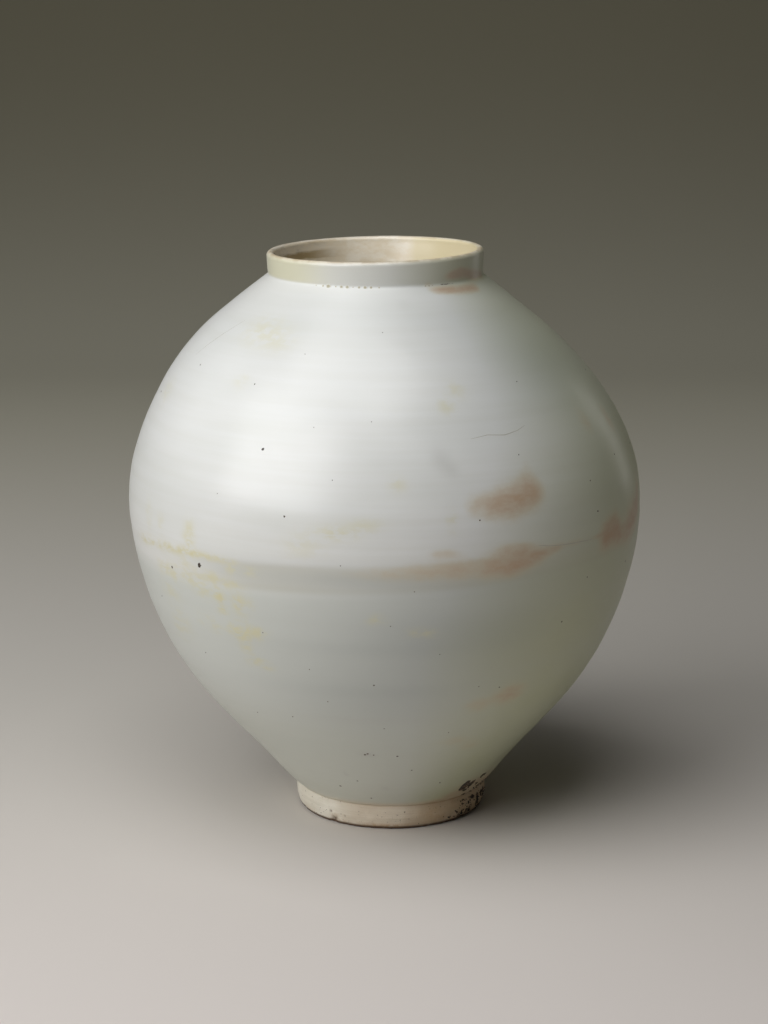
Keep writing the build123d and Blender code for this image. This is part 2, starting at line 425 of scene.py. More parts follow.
def stain(tree, tone, label, strength, color):
    """A tone with a colour laid over it as far as a value on the points says."""
    return blend(tree, times(tree, mask(tree, label), strength), tone, color)


def broken(tree, label, fine_break, low, high):
    """A value on the points broken up into small sharp spots."""
    return rise(tree, times(tree, mask(tree, label), fine_break), low, high)


bare_foot, tree, shader, place = finish_of("bare_foot")
grain = placed(tree, clay_grain, {"Place": place, "Fleck Share": 0.17})
foot_tone = placed(tree, bare_clay, {"Place": place, "Tone": grain["Tone"]})["Color"]
fine_break = noise(tree, place, 430.0, 4.0, 0.6)
edge_break = noise(tree, place, 240.0, 5.0, 0.6)
for label, breakup, low, high, color in (
    ("rust", fine_break, 0.25, 0.65, (0.58, 0.37, 0.18)),
    # dark brown along the bottom edge: real kiln edge and painted contact shadow
    ("kiln_edge_and_contact_shadow", edge_break, 0.2, 0.42, (0.10, 0.055, 0.03)),
    ("chipped", fine_break, 0.3, 0.55, (0.14, 0.085, 0.05)),
):
    foot_tone = stain(tree, foot_tone, label, rise(tree, breakup, low, high), color)
melted_share = broken(tree, "melted", fine_break, 0.22, 0.42)
foot_tone = blend(tree, melted_share, foot_tone, (0.05, 0.036, 0.024))
foot_tone = blend(tree, grain["Flecks"], foot_tone, (0.17, 0.10, 0.06))
foot_dullness = rise(tree, grain["Tone"], 0.0, 1.0, 0.66, 0.82)
turned_grain = drawn_out(tree, place, (30.0, 30.0, 900.0), 3.0)
foot_tooth = calc(tree, "ADD", grain["Height"], turned_grain)
dress(tree, shader, foot_tone, foot_dullness, foot_tooth, 0.0002)
give(turned_foot, bare_foot)

# Outer glaze: a milky, faintly blue-green glaze over the whole outside, over
# the lip and down into the throat. The potter dipped and poured it, and in the
# fire it took pink, ochre and olive tints and sank at the joint of the bowls.
# Its colour also carries painted shade: on the shaded right side, where the olive
# holds painted warm reflected light too, under the waist and in the waist band.
glaze_columns = 352
glaze_cover = 0.00055
belly_radius = 0.165
waist_height = 0.1945
waist_rise = 0.038
joint_half = 0.0065
neck_centre = np.array([-0.0058, 0.0, 0.3527])
collar_tilt = np.radians(1.1)
collar_up = np.array([-np.sin(collar_tilt), 0.0, np.cos(collar_tilt)])
collar_across = np.array([np.cos(collar_tilt), 0.0, np.sin(collar_tilt)])
collar_radius = 0.0685
throat_radius = 0.0619
lip_ring = 0.0665
lip_level = 0.0131
lip_outer_bend = 0.0027
lip_inner_bend = 0.0026


def node_points(node_name):
    """The corner points of a CAD node, in metres."""
    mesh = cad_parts[node_name].data
    points = np.empty(len(mesh.vertices) * 3, dtype=np.float32)
    mesh.vertices.foreach_get("co", points)
    return points.reshape(-1, 3).astype(float)


def level_circle(points, level, half_window, side):
    """Place and radius of the jar's round section at a level, by least squares.
    A circle x² + y² = 2 place x + rest, whose place and rest change with height, is fitted to
    the points near the level, then again to those on one side of the first fit."""
    near = points[np.abs(points[:, 2] - level) < half_window]
    for second_fit in (False, True):
        lift = near[:, 2] - level
        across = 2 * near[:, 0]
        terms = np.stack([across, across * lift, np.ones(len(near)), lift, lift**2], axis=-1)
        square = (near[:, :2] ** 2).sum(axis=1)
        found = np.linalg.lstsq(terms, square, rcond=None)[0]
        if not second_fit:
            near = near[(square - terms @ found) * side > 0]
    return found[0], np.sqrt(found[2] + found[0] ** 2)


def smooth_through(knots, values, at):
    """A natural cubic spline: its second slopes come from the usual banded equations."""
    step = np.diff(knots)
    slope = np.diff(values) / step
    band = np.diag(np.r_[1.0, 2 * (step[:-1] + step[1:]), 1.0])
    band += np.diag(np.r_[step[:-1], 0.0], -1) + np.diag(np.r_[0.0, step[1:]], 1)
    second = np.linalg.solve(band, np.r_[0.0, 6 * np.diff(slope), 0.0])
    span = np.clip(np.searchsorted(knots, at, side="right") - 1, 0, len(step) - 1)
    before = at - knots[span]
    after = knots[span + 1] - at
    curve = (second[span] * after**3 + second[span + 1] * before**3) / (6 * step[span])
    curve += (values[span] / step[span] - second[span] * step[span] / 6) * after
    return curve + (values[span + 1] / step[span] - second[span + 1] * step[span] / 6) * before


def skin_wall(node_name, side, levels, half_windows):
    """A skin's wall: its levels, with the place and radius of the circle at each."""
    points = node_points(node_name)
    found = [level_circle(points, level, half, side) for level, half in zip(levels, half_windows)]
    return (levels, *np.array(found).T)


def circle_at(wall, level):
    """Place and radius of a wall's circle at any level."""
    levels, places, radii = wall
    return smooth_through(levels, places, level), smooth_through(levels, radii, level)


def wall_ring(wall, turn, level, stand=0.0):
    """Points of a wall at turns and levels, stood off it to the inside by a distance."""
    place, radius = circle_at(wall, level)
    return ring_at(place, radius - stand, turn, level)


outer_levels = np.r_[0.016, 0.021, np.arange(0.028, 0.335, 0.0128), 0.3375, 0.343, 0.3485]
outer_windows = np.r_[np.full(len(outer_levels) - 2, 0.007), 0.005, 0.0028]
outer_wall = skin_wall("outer_glaze", 1, outer_levels, outer_windows)


def collar_wall(turn, rise_up, radius):
    """The collar: a round section about its own tilted axis."""
    turn, rise_up, radius = np.broadcast_arrays(turn, rise_up, radius)
    return (
        neck_centre
        + (radius * np.cos(turn))[..., None] * collar_across
        + rise_up[..., None] * collar_up
        - (radius * np.sin(turn))[..., None] * np.array([0.0, 1.0, 0.0])
    )


def meeting(turn, wall, radius, low):
    """How far up the collar's axis the wall meets the collar at each turn: the gap between
    the two radii is closed step by step."""
    rise_up = np.full_like(turn, low)
    for _ in range(30):
        point = collar_wall(turn, rise_up, radius)
        place, wall_radius = circle_at(wall, point[..., 2])
        gap = np.hypot(point[..., 0] - place, point[..., 1]) - wall_radius
        rise_up = rise_up - gap / 1.6
    return rise_up


def rounded(start, corner, end, count):
    """A rounded corner: the curve (1-s)² start + 2s(1-s) corner + s² end, without its ends."""
    share = np.linspace(0.0, 1.0, count + 2)[1:-1, None, None]
    return (1 - share) ** 2 * start + 2 * share * (1 - share) * corner + share**2 * end


# Rows lie closest near the foot, at the waist and under the neck
corner_rows = 5
collar_row_count = 12
lip_row_count = 17
run_length = 0.3361
edge_level = 0.0156
edge_swing = 0.0009
corner_below = 0.0009
corner_above = 0.0012
turn = np.arange(glaze_columns) * 2 * np.pi / glaze_columns
neck_rise = meeting(turn, outer_wall, collar_radius, 0.0)
neck_corner = collar_wall(turn, neck_rise, collar_radius)
edge_swell = uneven(turn, 0.0, 11, (1, 3, 7, 12, 19), (1.0,))
glaze_edge = edge_level + edge_swing * (0.5 + 0.5 * edge_swell)
wall_top = neck_corner[:, 2] - corner_below
run = np.concatenate(
    [
        np.arange(0.0, 0.024, 0.0011),
        np.arange(0.024, 0.162, 0.0026),
        np.arange(0.162, 0.168, 0.0014),
        np.arange(0.168, 0.189, 0.00068),
        np.arange(0.189, 0.197, 0.0014),
        np.arange(0.197, 0.285, 0.0024),
        np.linspace(0.285, run_length, 34),
    ]
)[:, None]
level = glaze_edge + run * (wall_top - glaze_edge) / run_length
seam_pull = window(level, waist_height, 0.06, 2)
level = level + waist_rise * belly_radius * np.cos(turn) * seam_pull
wall_rows = wall_ring(outer_wall, turn, level)
up_share = np.linspace(0.0, 1.0, collar_row_count)[:, None]
outer_start = neck_rise + corner_above
collar_rise = outer_start + up_share * (lip_level - outer_start)
collar_ring = collar_radius + (lip_ring + lip_outer_bend - collar_radius) * collar_rise / lip_level
collar_rows = collar_wall(turn, collar_rise, collar_ring)
lip_bend = np.linspace(0.0, np.pi, lip_row_count + 2)[1:-1, None]
lip_size = lip_outer_bend + (lip_inner_bend - lip_outer_bend) * lip_bend / np.pi
lip_rise = lip_level + lip_size * np.sin(lip_bend)
lip_reach = lip_ring + lip_size * np.cos(lip_bend)
lip_rows = collar_wall(turn, lip_rise, lip_reach)

# Down the throat, the glaze runs on a little over the top of the lining
inner_levels = np.r_[0.026, 0.030, np.arange(0.036, 0.330, 0.0122), 0.334, 0.3395]
inner_windows = np.r_[0.003, 0.005, np.full(len(inner_levels) - 4, 0.007), 0.005, 0.003]
inner_wall = skin_wall("inner_glaze", -1, inner_levels, inner_windows)
throat_above = 0.0028
under_start = 0.0016
under_run = 0.010
under_stand = 0.00012
throat_rise = meeting(turn, inner_wall, throat_radius, -0.008)
throat_corner = collar_wall(turn, throat_rise, throat_radius)
throat_start = throat_rise + throat_above
throat_drop = lip_level + np.linspace(0.0, 1.0, 9)[:, None] * (throat_start - lip_level)
throat_ring = throat_radius + (lip_ring - lip_inner_bend - throat_radius) * throat_drop / lip_level
throat_rows = collar_wall(turn, throat_drop, throat_ring)
under_level = throat_corner[:, 2] - under_start - np.linspace(0.0, under_run, 6)[:, None]
under_rows = wall_ring(inner_wall, turn, under_level, under_stand)
glaze_rows = np.concatenate(
    [
        wall_rows,
        rounded(wall_rows[-1], neck_corner, collar_rows[0], corner_rows),
        collar_rows,
        lip_rows,
        throat_rows,
        rounded(throat_rows[-1], throat_corner, under_rows[0], corner_rows),
        under_rows,
    ]
)
wall_count = len(wall_rows)
row_count = len(glaze_rows)


def outward(points):
    """Unit normals of rows of points: the climb from row to row crossed with the way round."""
    climb = np.gradient(points, axis=0)
    around = np.roll(points, -1, axis=1) - np.roll(points, 1, axis=1)
    normal = np.cross(climb, around)
    return normal / np.linalg.norm(normal, axis=-1, keepdims=True)


glaze_normals = outward(glaze_rows)
glaze_turn = np.broadcast_to(turn, glaze_rows.shape[:2])
glaze_level = glaze_rows[..., 2]
glaze_place = np.interp(glaze_level, outer_levels, outer_wall[1])
glaze_radius = np.hypot(glaze_rows[..., 0] - glaze_place, glaze_rows[..., 1])
row_number = np.arange(row_count)[:, None] + 0 * turn
degrees = np.degrees(glaze_turn)
on_wall = ramp(row_number, wall_count - 4, -8.0)
from_seam = glaze_level - waist_height - waist_rise * glaze_rows[..., 0]

# How deep the glaze lies under its full thickness. Each wave of the throwing rings
# has a pitch, a phase, the way that it drifts and a depth.
throwing_waves = [
    (0.0171, 0.0, 1, 0.000022), (0.0108, 2.0, -1, 0.000010), (0.0286, 4.0, 1, 0.00005),
]
dent_depth = 0.00019
line_depth = 0.00013
band_depth = 0.00005
edge_depth = 0.00025
wall_sink = 0.00018
collar_sink = 0.00012
swell_depth = 0.0001
deepest_sink = 0.00043
ring_drift = 0.9 * uneven(glaze_turn, 0.0, 20, (1, 2, 3, 5), (1.0,))
throwing = sum(
    depth * np.sin(2 * np.pi * glaze_level / pitch + phase + way * ring_drift)
    for pitch, phase, way, depth in throwing_waves
)
dents = uneven(glaze_turn, glaze_level, 21, (1, 2, 3, 4, 6, 9), (0.21, 0.13, 0.09)) * dent_depth
upper_line = window(from_seam, joint_half, 0.0021, 2)
lower_line = window(from_seam + joint_half, -0.0008, 0.0026, 2)
line_swell = 0.6 + 0.4 * uneven(glaze_turn, 0.0, 23, (2, 5, 9), (1.0,))
line_swell *= 1 - 0.8 * window(degrees, 158.0, 32.0, 4)
joint_lines = (upper_line + 0.8 * lower_line) * line_swell * line_depth
joint_band = window(from_seam, 0.0, 0.0085, 6)
thin_edge = window(glaze_level, glaze_edge, 0.0012, 2) * on_wall * edge_depth
collar_swell = uneven(glaze_turn, glaze_level, 25, (2, 3, 5, 9, 14), (0.02, 0.04))
sunk = on_wall * (wall_sink + throwing + dents + joint_lines + joint_band * band_depth) + thin_edge
sunk += (1 - on_wall) * (collar_sink + swell_depth * collar_swell)
sunk = np.clip(sunk, 0.0, deepest_sink)
glaze_front = glaze_rows - sunk[..., None] * glaze_normals

# The face on the clay has fewer rows, because nobody sees it
back_rows = np.unique(
    np.r_[
        0,
        np.arange(8, wall_count - 4, 11),
        np.arange(wall_count - 3, row_count - 8, 3),
        row_count - 4,
        row_count - 1,
    ]
)[::-1]
glaze_back = glaze_rows[back_rows] - glaze_cover * glaze_normals[back_rows]

joint_row = wall_count + corner_rows // 2
lip_row = wall_count + corner_rows + collar_row_count + lip_row_count // 2
throat_share = ramp(row_number, lip_row + 1, 4.0)
# The olive share: strongest on the right, the side away from the key light, and near the foot. It
# is partly a real olive tint and partly painted shade and painted warm reflected light.
shaded_right_side = np.cos(glaze_turn - np.radians(5.0))
side_start = np.interp(glaze_level, [0.14, 0.30, 0.351, 0.355], [0.20, 0.60, 0.60, 0.22])
olive = ramp(shaded_right_side, side_start, 0.55)
olive = np.clip(olive + 0.35 * ramp(glaze_level, 0.11, -0.09), 0.0, 1.0)

# Marks on the glaze, in turns and heights as patch takes them: ochre, pink flush,
# painted shade on the right and under the waist, grey, scorched pits and places nearly bare
ochre_spots = [
    (156.4, 195.3, 9, 3, 0.9), (150.8, 196.6, 10, 3, 1.0), (145, 197.2, 10, 3, 1.0),
    (139.6, 198.3, 10, 2.6, 1.0), (134.5, 198.6, 9, 2.4, 1.0), (129.4, 198.7, 9, 2.2, 0.9),
    (125, 198.6, 7, 2, 0.8), (135.5, 212, 4, 7, 0.8), (136, 205, 5, 5, 0.7),
    (152, 213, 4, 7, 0.4), (146, 211, 4, 6, 0.4), (146.1, 182.5, 10, 5, 0.7),
    (141, 181, 10, 5, 0.7), (135, 181, 9, 5, 0.7), (132, 175, 8, 5, 0.6), (146, 168, 9, 6, 0.5),
    (138, 190, 10, 5, 0.5), (128, 176, 4, 5, 1.1), (128, 168, 4, 5, 1.1),
    (123, 172, 4.5, 6, 1.3), (119.8, 173.3, 2.2, 4, 0.9), (130, 186, 9, 4, 0.8),
    (124.5, 184, 9, 3, 0.8), (123.6, 193.5, 5, 3, 0.9), (119.5, 194, 6, 3, 0.6),
    (126, 154, 6, 5, 0.9), (122, 154, 7, 6, 1.0), (118.5, 154.5, 5, 4, 0.8),
    (123.7, 144, 4, 7, 0.8), (122, 134, 6, 4, 0.8), (119, 131, 5, 3, 0.6),
    (145, 149, 9, 8, 0.5), (134, 156, 9, 4, 0.45), (131, 152, 7, 4, 0.4), (148, 139, 8, 5, 0.4),
    (132, 327, 15, 7, 0.5), (123, 323, 10, 5, 0.35), (69, 299, 6, 4, 0.5), (73, 291, 5, 4, 0.6),
    (130, 301, 6, 4, 0.3), (100, 222, 12, 4, 0.7), (94, 227, 10, 4, 0.5),
    (107, 213, 12, 8, 0.35), (87, 250, 5, 4, 0.5), (92, 169, 5, 3, 0.8), (82, 160, 8, 2.5, 0.8),
    (76, 228, 3, 5, 0.7), (163, 283, 8, 8, 0.3), (114.3, 351.6, 4, 1.5, 0.7),
    (106, 351.4, 6, 1.2, 0.6), (235, 190, 14, 7, 0.8), (262, 230, 14, 6, 0.6),
    (292, 170, 9, 8, 0.7), (210, 150, 12, 8, 0.6), (255, 182, 16, 4, 0.7),
    (275, 120, 9, 7, 0.5),
]
flush_spots = [
    (71, 236.5, 6, 7, 0.4), (67, 235.5, 8, 9, 0.6), (63, 236.5, 8, 10, 0.65),
    (59.5, 238.5, 8, 10, 0.65), (56, 240, 7, 9, 0.6), (57.5, 249, 4, 6, 0.22),
    (56.5, 256, 3, 5, 0.15), (98, 197.6, 14, 4.0, 0.15), (90, 198, 14, 5.4, 0.33),
    (82, 198.8, 13, 6.2, 0.46), (74.5, 199.2, 12, 6.8, 0.56), (67.5, 199, 10, 7, 0.68),
    (62.8, 198.6, 8, 7, 0.76), (59, 200.8, 8, 6.5, 0.74), (55.5, 203.2, 7, 5.0, 0.6),
    (51.8, 205.2, 7, 3.4, 0.46), (46.5, 206, 9, 2.2, 0.35), (39, 205.5, 9, 1.8, 0.25),
    (64.5, 208.5, 9, 4.6, 0.42), (60.5, 208.5, 8, 4.2, 0.4), (78, 209.8, 9, 3.0, 0.4),
    (35, 203.5, 8, 9, 0.9), (31, 206.5, 8, 10, 0.9), (27.5, 200, 9, 8, 0.6),
    (22, 203, 10, 12, 0.85), (17, 208, 10, 11, 0.85), (13, 217, 8, 12, 0.6),
    (32, 272, 7, 8, 0.35), (19, 268, 7, 9, 0.4), (57, 109, 12, 8, 0.66), (66, 104, 9, 6, 0.42),
    (69, 76, 12, 5, 0.3), (62, 69, 9, 5, 0.3), (123, 171, 3, 4, 0.22), (128, 172, 3, 6, 0.2),
    (58, 350.4, 6, 2.0, 0.5), (52, 350.0, 7, 2.2, 0.65), (45, 349.4, 7, 2.2, 0.7),
    (38.5, 349.0, 6, 2.2, 0.7), (32.5, 349.4, 5, 2.4, 0.65), (47, 357.6, 6, 2.4, 0.7),
    (42, 358.6, 6, 2.8, 1.0), (38, 359, 6, 2.8, 1.0), (31, 357, 7, 3.0, 1.0),
    (24, 355.4, 7, 2.8, 0.9), (16, 354.6, 7, 2.6, 0.8), (62, 354, 3, 1.5, 0.4),
    (338, 215, 15, 9, 0.8), (322, 203, 18, 6, 0.7), (300, 250, 12, 8, 0.5),
    (215, 226, 14, 8, 0.5), (310, 348, 14, 4, 0.5),
]
# Painted shade: darker glaze colour laid where the right side and the wall under the waist fall
# into shade
painted_shade_spots = [
    (96, 194, 76, 8.5, 0.62), (60, 191, 58, 12, 0.45), (74, 158, 80, 26, 0.66),
    (60, 150, 40, 26, 0.35), (53, 160, 34, 26, 0.24), (50, 140, 50, 30, 0.25),
    (88, 112, 74, 30, 0.5), (26, 308, 54, 32, 0.95), (22, 240, 36, 26, 0.12),
    (48, 213, 32, 12, 0.1), (124, 192, 30, 7, 0.22), (100, 149, 70, 4.5, 0.14),
    (95, 119, 70, 5.0, 0.14), (250, 160, 130, 40, 0.35), (230, 140, 80, 2.4, 0.2),
    (300, 120, 80, 2.2, 0.2),
]
grey_spots = [
    (77, 347, 4, 4, 0.6), (77, 263, 6, 6, 0.35), (75, 257, 5, 4, 0.3), (95, 96, 40, 1.5, 0.35),
    (240, 300, 8, 6, 0.4), (108, 46, 1.5, 1.5, 0.6), (92, 34, 3, 2, 0.3), (97, 66.5, 5, 2, 0.6),
]
scorch_spots = [
    (48.2, 25.6, 3.5, 3.1, 1.6), (47.2, 28.9, 3.0, 2.8, 1.5), (42.4, 25.9, 2.7, 2.4, 1.4),
    (42.0, 28.4, 2.0, 1.6, 1.2), (36.4, 31.6, 3.5, 1.8, 1.5), (41.3, 16.8, 2.8, 1.6, 1.3),
    (44, 21.5, 3.2, 1.8, 1.0), (36, 24, 3.0, 2.0, 1.1), (30, 20, 3.0, 2.2, 1.2),
    (24, 17.5, 3.0, 2.0, 1.2), (17, 19, 2.8, 2.0, 1.0), (350, 22, 5.0, 3.0, 0.5),
]
bare_spots = [
    (61, 16.5, 8, 2.0, 0.7), (54, 19, 8, 5, 0.8), (46, 23, 9, 8, 0.9), (36, 24, 11, 9, 0.9),
    (25, 22, 12, 8, 0.9), (12, 19, 14, 6, 0.8), (0, 17, 12, 3, 0.6),
]


ivory_arc = ramp(degrees, 289.0, 6.0) + ramp(degrees, 24.0, -24.0)
crack_arc = window(degrees, 50.0, 7.0, 4) + 0.8 * window(degrees, 62.0, 2.2, 2)
below_seam = ramp(from_seam, -0.002, -0.012)
glaze_masks = {
    "olive": olive,
    "lower": below_seam * np.clip((glaze_level - 0.01) / 0.06, 0.4, 1.0),
    # The joint mask darkens the glaze at the waist band: partly the glaze's own darker, yellower
    # tone, partly painted shade of the band's shallow groove.
    "joint": (0.75 * joint_band + 0.3 * upper_line + 0.3 * lower_line) * line_swell * on_wall,
    "crack": crack_arc * window(row_number, joint_row, 1.6, 2),
    "throat": throat_share,
    "inside_brown": window(degrees, 205.0, 36.0, 4) * throat_share,
    "inside_ivory": ivory_arc * throat_share,
    "lip": window(row_number, lip_row - 1, 4.6, 2),
    "collar": ramp(row_number, joint_row, 4.0) * (1 - throat_share),
    "collar_yellow": window(degrees, 150.0, 31.0, 4),
    "thin": window(glaze_level, glaze_edge, 0.0028, 2) * on_wall,
}
for label, spots in (
    ("ochre", ochre_spots),
    ("grey", grey_spots),
    ("scorch", scorch_spots),
    ("bare", bare_spots),
    ("painted_shade", painted_shade_spots),
):
    glaze_masks[label] = patch(glaze_turn, glaze_level, spots, glaze_radius) * on_wall
flush = patch(glaze_turn, glaze_level, flush_spots, glaze_radius) * (1 - throat_share)
glaze_masks["flush"] = np.clip(flush, 0.0, 1.1)
for label, values in glaze_masks.items():
    glaze_masks[label] = np.concatenate([values, values[back_rows]])
glaze_points = np.concatenate([glaze_front, glaze_back])
jar_glaze = skin_mesh("jar_glaze", glaze_points, glaze_masks, joined=True)
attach(jar_glaze, "root")
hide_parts("outer_glaze")

# Glaze surface: cloudy depth, drawn-out throwing lines and a fine orange peel
glaze_surface, given, wanted = effect(
    "glaze_surface",
    {"Place": "Vector"},
    {"Cloud": "Float", "Streak": "Float", "Mottle": "Float", "Height": "Float"},
)
cloud = drawn_out(glaze_surface, given["Place"], (9.0, 9.0, 22.0), 3.0)
streak = drawn_out(glaze_surface, given["Place"], (7.0, 7.0, 190.0), 5.0)
mottle = drawn_out(glaze_surface, given["Place"], (110.0, 110.0, 210.0), 5.0, 0.6)
peel = noise(glaze_surface, given["Place"], 420.0, 2.0)
peel_share = times(glaze_surface, peel, 0.08)
feed(glaze_surface, wanted["Cloud"], rise(glaze_surface, cloud, 0.3, 0.7))
feed(glaze_surface, wanted["Streak"], rise(glaze_surface, streak, 0.3, 0.7))
feed(glaze_surface, wanted["Mottle"], mottle)
feed(glaze_surface, wanted["Height"], calc(glaze_surface, "ADD", streak, peel_share))

milky_glaze, tree, shader, place = finish_of("milky_glaze")
skin = placed(tree, glaze_surface, {"Place": place})
tone = blend(tree, skin["Cloud"], (0.715, 0.73, 0.71), (0.76, 0.77, 0.755))
tone = blend(tree, times(tree, skin["Streak"], 0.18), tone, (0.60, 0.60, 0.53))
olive_break = rise(tree, skin["Cloud"], 0.0, 1.0, 0.85, 1.0)
for label, strength, color in (
    ("lower", 0.8, (0.57, 0.60, 0.558)),
    # painted shade on the shaded right side and under the waist
    ("painted_shade", 0.85, (0.375, 0.405, 0.385)),
    # olive: partly a real tint, partly painted shade and painted reflected light of the right side
    ("olive", olive_break, (0.52, 0.54, 0.362)),
    ("grey", 1.0, (0.50, 0.50, 0.47)),
    # joint: a darker, yellower waist band, partly real tone and partly painted shade of its groove
    ("joint", 0.52, (0.45, 0.435, 0.33)),
):
    tone = stain(tree, tone, label, strength, color)

# Ochre comes out in broken, drawn-out patches, and pink as a soft bloom
ochre_grain = calc(tree, "MULTIPLY_ADD", skin["Streak"], 0.12, skin["Mottle"])
ochre_break = calc(tree, "ADD", rise(tree, ochre_grain, 0.44, 0.66), 0.22)
tone = stain(tree, tone, "ochre", times(tree, ochre_break, 0.6), (0.645, 0.605, 0.35))
flush_break = rise(tree, skin["Mottle"], 0.3, 0.7, 0.72, 1.1)
flush_edge = times(tree, mask(tree, "flush"), flush_break)
tone = blend(tree, rise(tree, flush_edge, 0.03, 0.45, 0.0, 0.35), tone, (0.62, 0.56, 0.36))
tone = blend(tree, rise(tree, flush_edge, 0.05, 1.1, 0.0, 0.87), tone, (0.51, 0.335, 0.21))

# The collar is a little greyer, yellow-green at the left; the lip is buff, and
# the throat cream, stained brown at the left and ivory at the right
tone = stain(tree, tone, "collar", 0.35, (0.62, 0.62, 0.54))
yellow_share = times(tree, mask(tree, "collar_yellow"), 0.75)
tone = stain(tree, tone, "collar", yellow_share, (0.66, 0.64, 0.44))
throat_break = rise(tree, skin["Mottle"], 0.35, 0.65)
throat_tone = blend(tree, throat_break, (0.84, 0.735, 0.555), (0.92, 0.845, 0.70))
throat_tone = stain(tree, throat_tone, "inside_ivory", 1.0, (0.76, 0.66, 0.42))
brown_break = rise(tree, calc(tree, "ADD", skin["Mottle"], skin["Streak"]), 0.35, 1.05)
throat_tone = stain(tree, throat_tone, "inside_brown", brown_break, (0.36, 0.25, 0.10))
tone = stain(tree, tone, "throat", 1.0, throat_tone)
lip_break = rise(tree, skin["Mottle"], 0.4, 0.6)
lip_tone = blend(tree, lip_break, (0.62, 0.50, 0.33), (0.84, 0.75, 0.59))
tone = stain(tree, tone, "lip", 0.85, lip_tone)

# Towards the foot the glaze thins to the bare clay; scorched pits and the open
# crack under the collar are dark
thin_clay = placed(tree, bare_clay, {"Place": place, "Tone": skin["Mottle"]})["Color"]
tone = stain(tree, tone, "thin", 0.75, thin_clay)
bare_break = rise(tree, skin["Mottle"], 0.25, 0.6, 0.6, 1.0)
tone = stain(tree, tone, "bare", bare_break, (0.52, 0.42, 0.28))
fine_break = noise(tree, place, 430.0, 4.0, 0.6)
scorch_share = broken(tree, "scorch", fine_break, 0.30, 0.46)
tone = blend(tree, scorch_share, tone, (0.05, 0.036, 0.024))
crack_share = broken(tree, "crack", fine_break, 0.34, 0.5)
tone = blend(tree, crack_share, tone, (0.12, 0.085, 0.055))
shader.inputs["Specular IOR Level"].default_value = 0.8
dry_share = calc(tree, "ADD", mask(tree, "thin"), mask(tree, "bare"))
dry_share = calc(tree, "ADD", scorch_share, dry_share)
gloss = rise(tree, skin["Mottle"], 0.3, 0.7, 0.29, 0.33)
roughness = calc(tree, "MULTIPLY_ADD", dry_share, 0.3, gloss)
dress(tree, shader, tone, roughness, skin["Height"], 0.00006)
give(jar_glaze, milky_glaze)

# Lining: the cream glaze that was poured round the inside of the joined bowls.
# It is thinner than the outside one, with the throwing spiral showing on the
# floor.
lining_thickness = 0.0004
floor_face = 0.0244
lining_turn = turn[::2]
lining_edge = throat_corner[::2, 2] - 0.0062
down_share = np.linspace(1.0, 0.0, 74)[:, None]
wall_down = floor_face + down_share * (lining_edge - floor_face)
down_rows = wall_ring(inner_wall, lining_turn, wall_down)
floor_place = down_rows[-1, :, 0].mean()
floor_edge = np.hypot(down_rows[-1, :, 0] - floor_place, down_rows[-1, :, 1])
floor_reach = np.linspace(1.0, 0.02, 44)[1:, None] * floor_edge
spiral = np.sin(floor_reach * 2 * np.pi / 0.0075 - lining_turn) * 0.0002
spiral *= ramp(floor_reach, floor_edge, -0.008)
floor_rows = ring_at(floor_place, floor_reach, lining_turn, floor_face + spiral)
lining_front = np.concatenate([down_rows, floor_rows])
lining_back = (lining_front - lining_thickness * outward(lining_front))[::-1]
lining_rows = np.concatenate([lining_back, lining_front])
poured_lining = skin_mesh("poured_lining", lining_rows, {}, joined=False)
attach(poured_lining, "root")
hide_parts("inner_glaze")

cream_lining, tree, shader, place = finish_of("cream_lining")
skin = placed(tree, glaze_surface, {"Place": place})
tone = blend(tree, skin["Cloud"], (0.66, 0.55, 0.38), (0.74, 0.66, 0.50))
tone = blend(tree, times(tree, skin["Streak"], 0.2), tone, (0.55, 0.45, 0.31))
dress(tree, shader, tone, rise(tree, skin["Mottle"], 0.3, 0.7, 0.24, 0.34), skin["Height"], 0.00008)
give(poured_lining, cream_lining)

# Base glaze: the thin milky glaze on the roof of the foot's recess, where the
# dipped jar was held by its foot. It is cloudy and a little greyer.
base_milk, tree, shader, place = finish_of("base_milk")
skin = placed(tree, glaze_surface, {"Place": place})
tone = blend(tree, skin["Cloud"], (0.62, 0.61, 0.54), (0.72, 0.72, 0.67))
tone = blend(tree, rise(tree, skin["Mottle"], 0.52, 0.64), tone, (0.60, 0.52, 0.38))
dress(tree, shader, tone, rise(tree, skin["Mottle"], 0.3, 0.7, 0.2, 0.3), skin["Height"], 0.00006)
give(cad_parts["base_glaze"], base_milk)

# Iron specks: grains of iron in the clay that melted through the glaze. Each is
# a small flat lens with an uneven edge; the largest sits at the waist.


def on_glaze(mark_turn, mark_height):
    """Where marks sit on the outer glaze: the point and its normal at a turn in degrees and a
    height in millimetres, between the four nearest points of its rows."""
    column = np.radians(mark_turn) * glaze_columns / (2 * np.pi)
    first = np.floor(column).astype(int) % glaze_columns
    heights = glaze_front[:wall_count, first, 2].T
    row_numbers = np.arange(wall_count)
    levels = mark_height / 1000.0
    row = np.array([np.interp(at, up, row_numbers) for at, up in zip(levels, heights)])
    below = np.clip(np.floor(row).astype(int), 0, wall_count - 2)
    up = (row - below)[:, None]
    aside = (column - np.floor(column))[:, None]
    after = (first + 1) % glaze_columns
    found = []
    for field in (glaze_front, glaze_normals):
        low = field[below, first] * (1 - aside) + field[below, after] * aside
        high = field[below + 1, first] * (1 - aside) + field[below + 1, after] * aside
        found.append(low * (1 - up) + high * up)
    return found[0], found[1] / np.linalg.norm(found[1], axis=1, keepdims=True)


